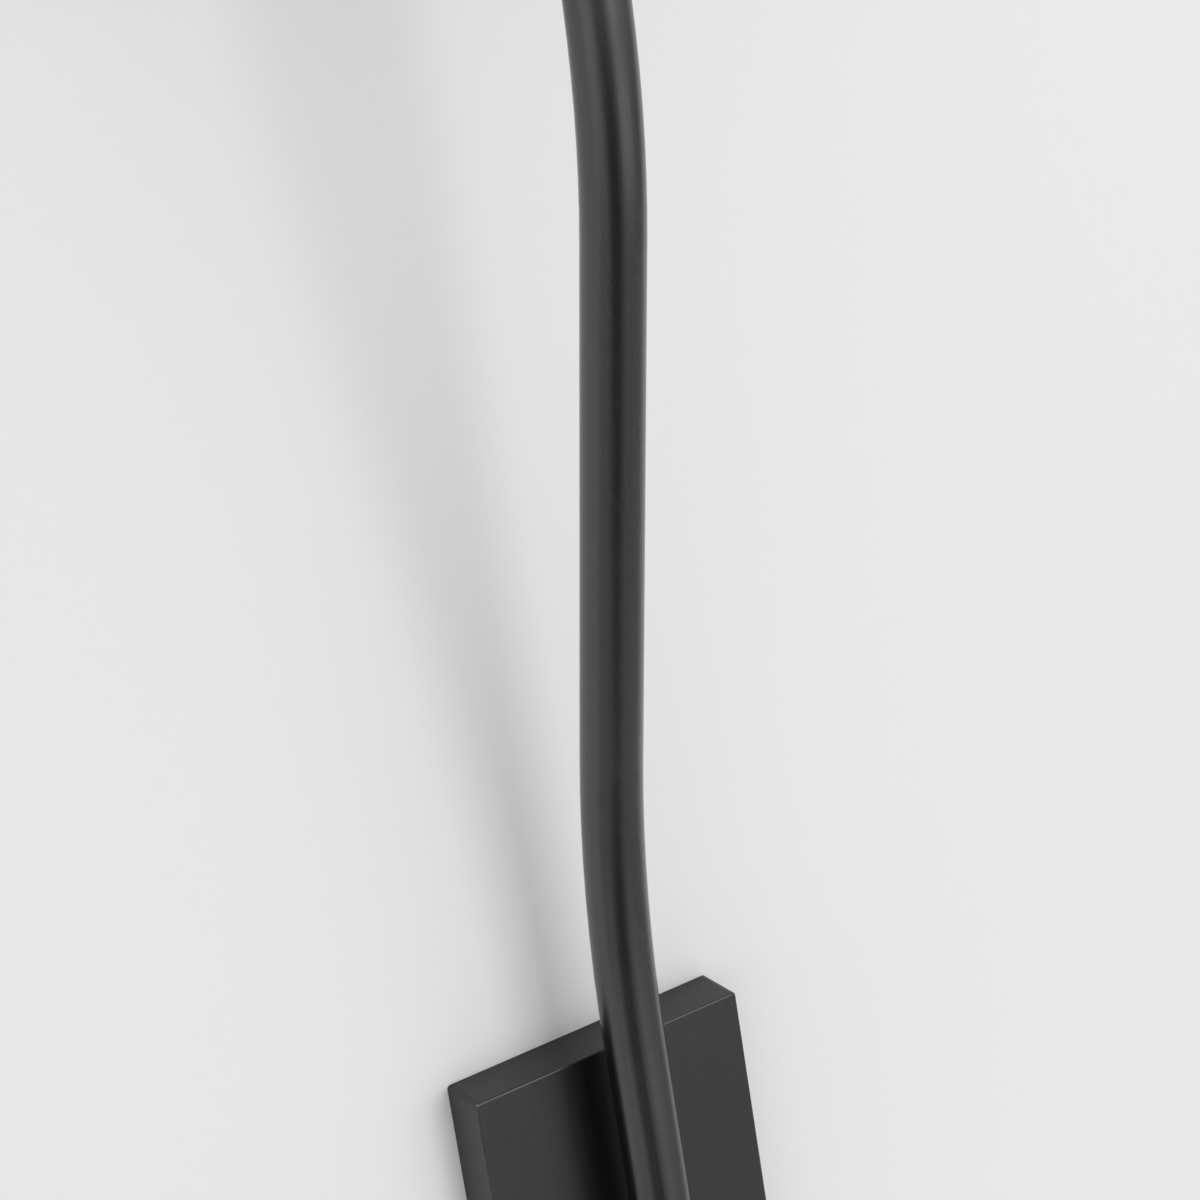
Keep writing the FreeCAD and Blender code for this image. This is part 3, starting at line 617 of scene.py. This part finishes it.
def linen_shell():
    """The linen as a thin closed shell round the liner, with its lapped seam."""
    outer = []
    inner = []
    for ring in range(LINEN_RINGS + 1):
        share = ring / LINEN_RINGS
        height = SHADE_HEIGHT * share
        outer.append((SHADE_LOWER[1] + (SHADE_UPPER[1] - SHADE_LOWER[1]) * share, height))
        inner.append((SHADE_LOWER[0] + (SHADE_UPPER[0] - SHADE_LOWER[0]) * share, height))

    def shift(index, radius, height, angle):
        if index <= LINEN_RINGS:
            around = LINEN_UNEVEN_ROUND
            at = Vector((math.cos(angle) * around, math.sin(angle) * around, height * LINEN_UNEVEN_UP))
            radius += seam(angle) + LINEN_UNEVEN * noise.noise(at)
        return radius, height

    piece = turned("shade_linen", outer + inner[::-1], shade_angles(), "linen", SHADE_PLACE, shift)
    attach(piece, "shade")
    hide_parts("shade_fabric")


def tape_profile():
    """The rolled tape as offsets outward from the cone and distances inward from the edge."""
    half = TAPE_THICKNESS / 2
    middle = TAPE_CLEARANCE + half
    wire = WIRE_RADIUS + middle
    quarter = math.radians(90.0)
    line = [(middle, TAPE_OUTER * share, 1.0, 0.0) for share in TAPE_OUTSIDE_SHARES]
    for step in range(1, TAPE_CORNER_STEPS + 1):
        angle = quarter * step / TAPE_CORNER_STEPS
        across = math.cos(angle)
        down = math.sin(angle)
        line.append((middle * across, -middle * down, across, -down))
    line.append((-WIRE_INSET / 2, -middle, 0.0, -1.0))
    for step in range(TAPE_WIRE_STEPS + 1):
        angle = quarter * (1 + step / TAPE_WIRE_STEPS)
        across = math.cos(angle)
        down = math.sin(angle)
        line.append((-WIRE_INSET + wire * across, WIRE_RADIUS - wire * down, across, -down))
    for share in TAPE_INSIDE_SHARES:
        line.append((-WIRE_INSET - wire, WIRE_RADIUS + (TAPE_INNER - WIRE_RADIUS) * share, -1.0, 0.0))
    front = [(offset + half * out, depth + half * down) for offset, depth, out, down in line]
    back = [(offset - half * out, depth - half * down) for offset, depth, out, down in line]
    return front + back[::-1], len(line)


def rolled_tape(name, node, at_top):
    """Tape round one edge of the shade: its free edge wanders, and it laps over its own start."""
    profile, front_count = tape_profile()
    inward = -1 if at_top else 1
    edge = SHADE_HEIGHT if at_top else 0.0
    slope = (SHADE_UPPER[1] - SHADE_LOWER[1]) / SHADE_HEIGHT
    phase = UPPER_TAPE_PHASE if at_top else LOWER_TAPE_PHASE

    def shift(index, offset, depth, angle):
        around = TAPE_WANDER_ROUND
        at = Vector((math.cos(angle) * around + phase, math.sin(angle) * around, depth * TAPE_WANDER_UP))
        wander = TAPE_WANDER * noise.noise(at)
        height = edge + inward * (depth + wander * smooth_step(depth, TAPE_FIXED, TAPE_OUTER))
        if offset > 0:
            offset += seam(angle) + abs(wander) * TAPE_PUCKER
        if index < front_count:
            offset += math.copysign(lap(angle, TAPE_LAP_ANGLE, TAPE_LAP_WIDTH, TAPE_LAP), offset)
        return SHADE_LOWER[1] + slope * height + offset, height

    piece = turned(name, profile, shade_angles(), "linen_tape", SHADE_PLACE, shift)
    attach(piece, "shade")
    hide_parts(node)


# Screw threads

def thread(height, angle, pitch, low, high):
    """From 0 at a crest to 1 in a groove, fading out at both ends of the thread."""
    groove = 0.5 - 0.5 * math.cos(2 * math.pi * height / pitch - angle)
    fade = smooth_step(height, low, low + THREAD_FADE)
    fade *= 1 - smooth_step(height, high - THREAD_FADE, high)
    return groove * fade


def heights_between(low, high, pitch):
    count = math.ceil((high - low) / pitch * THREAD_STEPS)
    return [low + (high - low) * index / count for index in range(count + 1)]


def threaded(name, node, body, finish, profile, shift):
    """A turned piece with a thread, in the place of its plain node."""
    piece = turned(name, profile, even_angles(THREAD_ANGLES), finish, foot_of(node), shift)
    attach(piece, body)
    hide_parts(node)


def threaded_skirt():
    """The lampholder's upper moulding with its outside thread."""
    inner, outer = rim_radii("lampholder_skirt")
    length = node_length("lampholder_skirt")
    rise = heights_between(0.0, length - SKIRT_LIP, SKIRT_PITCH)
    inset = SKIRT_LIP * SKIRT_LIP_SHARE
    top = length - SKIRT_PLAIN
    profile = [(outer, height) for height in rise]
    profile += [(outer - inset, length - inset), (outer - SKIRT_LIP, length), (inner, length), (inner, 0.0)]

    def shift(index, radius, height, angle):
        if index < len(rise):
            radius -= SKIRT_THREAD_DEPTH * thread(height, angle, SKIRT_PITCH, SKIRT_PLAIN, top)
        return radius, height

    threaded("skirt_with_thread", "lampholder_skirt", "fixture", "black_phenolic", profile, shift)


def rolled_shell():
    """The brass shell with the lamp's thread rolled into it."""
    inner, outer = rim_radii("screw_shell")
    length = node_length("screw_shell")
    rise = heights_between(0.0, length, SHELL_PITCH)
    top = length - SHELL_PLAIN_UPPER
    profile = [(outer, height) for height in rise] + [(inner, height) for height in rise[::-1]]

    def shift(index, radius, height, angle):
        depth = SHELL_THREAD_DEPTH * thread(height, angle, SHELL_PITCH, SHELL_PLAIN_LOWER, top)
        return radius - depth, height

    threaded("rolled_shell", "screw_shell", "fixture", "brass", profile, shift)


def threaded_cap():
    """The lamp's cap: a chamfer, the rolled thread and a plain collar."""
    outer = outer_radius("bulb_cap")
    length = node_length("bulb_cap")
    rise = heights_between(CAP_CHAMFER, length, SHELL_PITCH)
    top = length - CAP_COLLAR
    profile = [(outer - CAP_CHAMFER, 0.0)] + [(outer, height) for height in rise]
    profile += [
        (outer - CAP_WALL, length),
        (outer - CAP_WALL - CAP_THINNING, CAP_CHAMFER + CAP_WALL),
        (outer - CAP_CHAMFER - CAP_WALL, CAP_WALL),
    ]

    def shift(index, radius, height, angle):
        if 0 < index <= len(rise):
            radius -= CAP_THREAD_DEPTH * thread(height, angle, SHELL_PITCH, CAP_CHAMFER, top)
        return radius, height

    threaded("cap_with_thread", "bulb_cap", "bulb", "nickel_cap", profile, shift)


# Brazing and welds

def uneven(radius, at):
    return radius * (1 + LUMP_SHARE * noise.noise(at * LUMP_SCALE))


def braze_fillet():
    """The braze round the end of the post, where it is coped to the arm's lower run beside the wall."""
    tube_radius = outer_radius("arm_tube")
    arm_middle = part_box("arm_tube")[1].y - tube_radius
    toward_wall = Vector((0, 1, 0))
    rows = []
    for angle in even_angles(THREAD_ANGLES):
        outward = Vector((math.cos(angle), 0, math.sin(angle)))
        at = outward * POST_RADIUS
        at.y = arm_middle + math.sqrt(tube_radius * tube_radius - at.x * at.x)
        radius = uneven(BRAZE_RADIUS, at)
        row = []
        for turn in even_angles(BRAZE_SIDES):
            row.append(at + (outward * math.cos(turn) + toward_wall * math.sin(turn)) * radius)
        rows.append(row)
    corners, faces = join_rows(rows)
    piece = mesh_object("braze_fillet", corners, faces, "bronze_arm")
    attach(piece, "fixture")


def bead(middle, along):
    """Rings and caps of one weld bead: a rounded lump drawn out along one level direction."""
    across = along.cross(UPWARD)
    downward = along.cross(across)
    rows = []
    for ring in range(WELD_RINGS):
        angle = math.pi * (ring + 0.5) / WELD_RINGS
        centre = middle - along * (WELD_LENGTH / 2 * math.cos(angle))
        row = []
        for turn in even_angles(WELD_SIDES):
            out = across * math.cos(turn) + downward * math.sin(turn)
            row.append(centre + out * uneven(WELD_RADIUS * math.sin(angle), centre + out * WELD_RADIUS))
        rows.append(row)
    corners, faces = join_rows(rows, closed_rows=False)
    last = len(corners) - WELD_SIDES
    faces.append(tuple(range(WELD_SIDES)))
    faces.append(tuple(range(last, last + WELD_SIDES)))
    return corners, faces


def weld_beads():
    """Each spoke is welded to the underside of the fitter ring and to the lower wire ring."""
    axis = axis_of("shade_fitter")
    spokes_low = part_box("fitter_spokes")[0]
    ring_place = (outer_radius("shade_fitter") - FITTER_WELD_INSET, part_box("shade_fitter")[0].z)
    foot_place = (axis.y - spokes_low.y - WIRE_RADIUS, spokes_low.z)
    corners = []
    faces = []
    for index in range(SPOKE_COUNT):
        angle = FIRST_SPOKE_ANGLE + 2 * math.pi * index / SPOKE_COUNT
        outward = Vector((math.cos(angle), math.sin(angle), 0))
        sideways = Vector((-math.sin(angle), math.cos(angle), 0))
        for (radius, height), along in ((ring_place, outward), (foot_place, sideways)):
            bead_corners, bead_faces = bead(axis + outward * radius + UPWARD * height, along)
            faces += [tuple(len(corners) + corner for corner in face) for face in bead_faces]
            corners += bead_corners
    piece = mesh_object("weld_beads", corners, faces, "white_wire")
    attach(piece, "shade")


# Wall and floor, seen from the room's side only

def one_sided(name, tone, grain, relief):
    """Matt paint that is clear from behind."""
    material, tree, shader = node_tree(name)
    patches = stretched_noise(tree, PATCH_SCALE, detail=PATCH_DETAIL)
    tree.links.new(varied(tree, patches, (tone, tone, tone), *PATCH_SHADES), shader.inputs["Base Color"])
    set_inputs(shader, PAINT_SURFACE)
    bump(tree, shader, stretched_noise(tree, grain), relief, PAINT_BUMP)
    side = add(tree, "ShaderNodeNewGeometry")
    clear = add(tree, "ShaderNodeBsdfTransparent")
    choose = add(tree, "ShaderNodeMixShader")
    for index, source in enumerate((side.outputs["Backfacing"], shader.outputs[0], clear.outputs[0])):
        tree.links.new(source, choose.inputs[index])
    tree.links.new(choose.outputs[0], tree.nodes["Material Output"].inputs["Surface"])
    return material


def stage_sheet(name, corners, faces, material):
    mesh = bpy.data.meshes.new(name)
    mesh.from_pydata(corners, [], faces)
    mesh.update()
    mesh.materials.append(material)
    link(bpy.data.objects.new(name, mesh))


def rectangle(left, low, right, high):
    return [(left, low), (right, low), (right, high), (left, high)]


def wall():
    """The wall round the backplate; what the plate covers is left open, so that its back can be seen."""
    low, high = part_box("backplate")
    inset = PLATE_COVER
    outer = rectangle(-WALL_HALF_WIDTH, -FLOOR_DROP, WALL_HALF_WIDTH, WALL_HEIGHT)
    inner = rectangle(low.x + inset, low.z + inset, high.x - inset, high.z - inset)
    corners = [(x, WALL_GAP, z) for x, z in outer + inner]
    count = len(outer)
    faces = []
    for side in range(count):
        after = (side + 1) % count
        faces.append((side, after, count + after, count + side))
    stage_sheet("wall", corners, faces, one_sided("wall_paint", **WALL_PAINT))


def floor():
    outline = rectangle(-WALL_HALF_WIDTH, -FLOOR_REACH, WALL_HALF_WIDTH, WALL_GAP)
    corners = [(x, y, -FLOOR_DROP) for x, y in outline]
    stage_sheet("floor", corners, [(0, 1, 2, 3)], one_sided("floor_paint", **FLOOR_PAINT))


# Light

def direction(azimuth, elevation):
    """From the wall towards the room: azimuth 0 is square to the wall, positive to the right."""
    flat = math.cos(elevation)
    return Vector((math.sin(azimuth) * flat, -math.cos(azimuth) * flat, math.sin(elevation)))


def soft_light(name, azimuth, elevation, distance, width, height, radiance, only_gloss=False):
    """A rectangular lamp that faces the middle of the sconce's height."""
    light = bpy.data.lights.new(name, "AREA")
    light.shape = "RECTANGLE"
    light.size = width
    light.size_y = height
    light.energy = radiance * math.pi * width * height
    lamp = bpy.data.objects.new(name, light)
    back = direction(math.radians(azimuth), math.radians(elevation))
    lamp.location = Vector((0, 0, (cad_box[0].z + cad_box[1].z) / 2)) + back * distance
    lamp.rotation_mode = "QUATERNION"
    lamp.rotation_quaternion = (-back).to_track_quat("-Z", "Y")
    if only_gloss:
        lamp.visible_camera = False
        lamp.visible_diffuse = False
    link(lamp)


def stepped(tree, source, stops):
    """A grey curve through (place, level) stops, from the first place to the last."""
    low = stops[0][0]
    high = stops[-1][0]
    middle = 0.5
    ramp = add(tree, "ShaderNodeValToRGB")
    elements = ramp.color_ramp.elements
    while len(elements) < len(stops):
        elements.new(middle)
    for element, (at, level) in zip(elements, stops):
        element.position = (at - low) / (high - low)
        element.color = (level, level, level, 1.0)
    tree.links.new(remap(tree, source, (low, high), (0, 1)), ramp.inputs["Fac"])
    return ramp.outputs["Color"]


def room():
    """A pale room: brightest near the horizon, and darker straight ahead below eye level."""
    world = bpy.data.worlds.new("room")
    world.use_nodes = True
    tree = world.node_tree
    parts = add(tree, "ShaderNodeSeparateXYZ")
    tree.links.new(add(tree, "ShaderNodeTexCoord").outputs["Generated"], parts.inputs[0])
    outward = math_node(tree, "MULTIPLY", parts.outputs["Y"], -1.0)
    azimuth = math_node(tree, "DEGREES", math_node(tree, "ARCTAN2", parts.outputs["X"], outward))
    below = remap(tree, parts.outputs["Z"], EYE_LEVEL, (1, 0), smooth=True)
    share = stepped(tree, azimuth, ROOM_BY_AZIMUTH)
    darker = math_node(tree, "MULTIPLY", below, math_node(tree, "SUBTRACT", 1.0, share))
    background = tree.nodes["Background"]
    tree.links.new(stepped(tree, parts.outputs["Z"], ROOM_BY_HEIGHT), background.inputs["Color"])
    tree.links.new(math_node(tree, "SUBTRACT", 1.0, darker), background.inputs["Strength"])
    bpy.context.scene.world = world


# Camera

def camera():
    """The photograph's camera, turned about its own axis by the picture's tilt."""
    data = bpy.data.cameras.new("camera")
    data.lens = CAMERA_LENS
    data.sensor_width = CAMERA_SENSOR
    view = bpy.data.objects.new("camera", data)
    back = direction(CAMERA_AZIMUTH, CAMERA_ELEVATION)
    right = Vector((math.cos(CAMERA_AZIMUTH), math.sin(CAMERA_AZIMUTH), 0))
    up = back.cross(right)
    tilted_right = right * math.cos(CAMERA_ROLL) + up * math.sin(CAMERA_ROLL)
    tilted_up = up * math.cos(CAMERA_ROLL) - right * math.sin(CAMERA_ROLL)
    aim = Vector((0, 0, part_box("backplate")[1].z))
    view.location = aim + back * CAMERA_DISTANCE + tilted_right * CAMERA_SIDE + tilted_up * CAMERA_RISE
    view.rotation_mode = "QUATERNION"
    view.rotation_quaternion = Matrix((tilted_right, tilted_up, back)).transposed().to_quaternion()
    bpy.context.scene.camera = link(view)


camera()
crisp_backplate()
linen_shell()
rolled_tape("upper_tape", "shade_upper_binding", at_top=True)
rolled_tape("lower_tape", "shade_lower_binding", at_top=False)
threaded_skirt()
rolled_shell()
threaded_cap()
braze_fillet()
weld_beads()
wall()
floor()
for lamp_name, lamp_values in LAMPS.items():
    soft_light(lamp_name, **lamp_values)
room()
bpy.context.scene.view_settings.view_transform = "Standard"
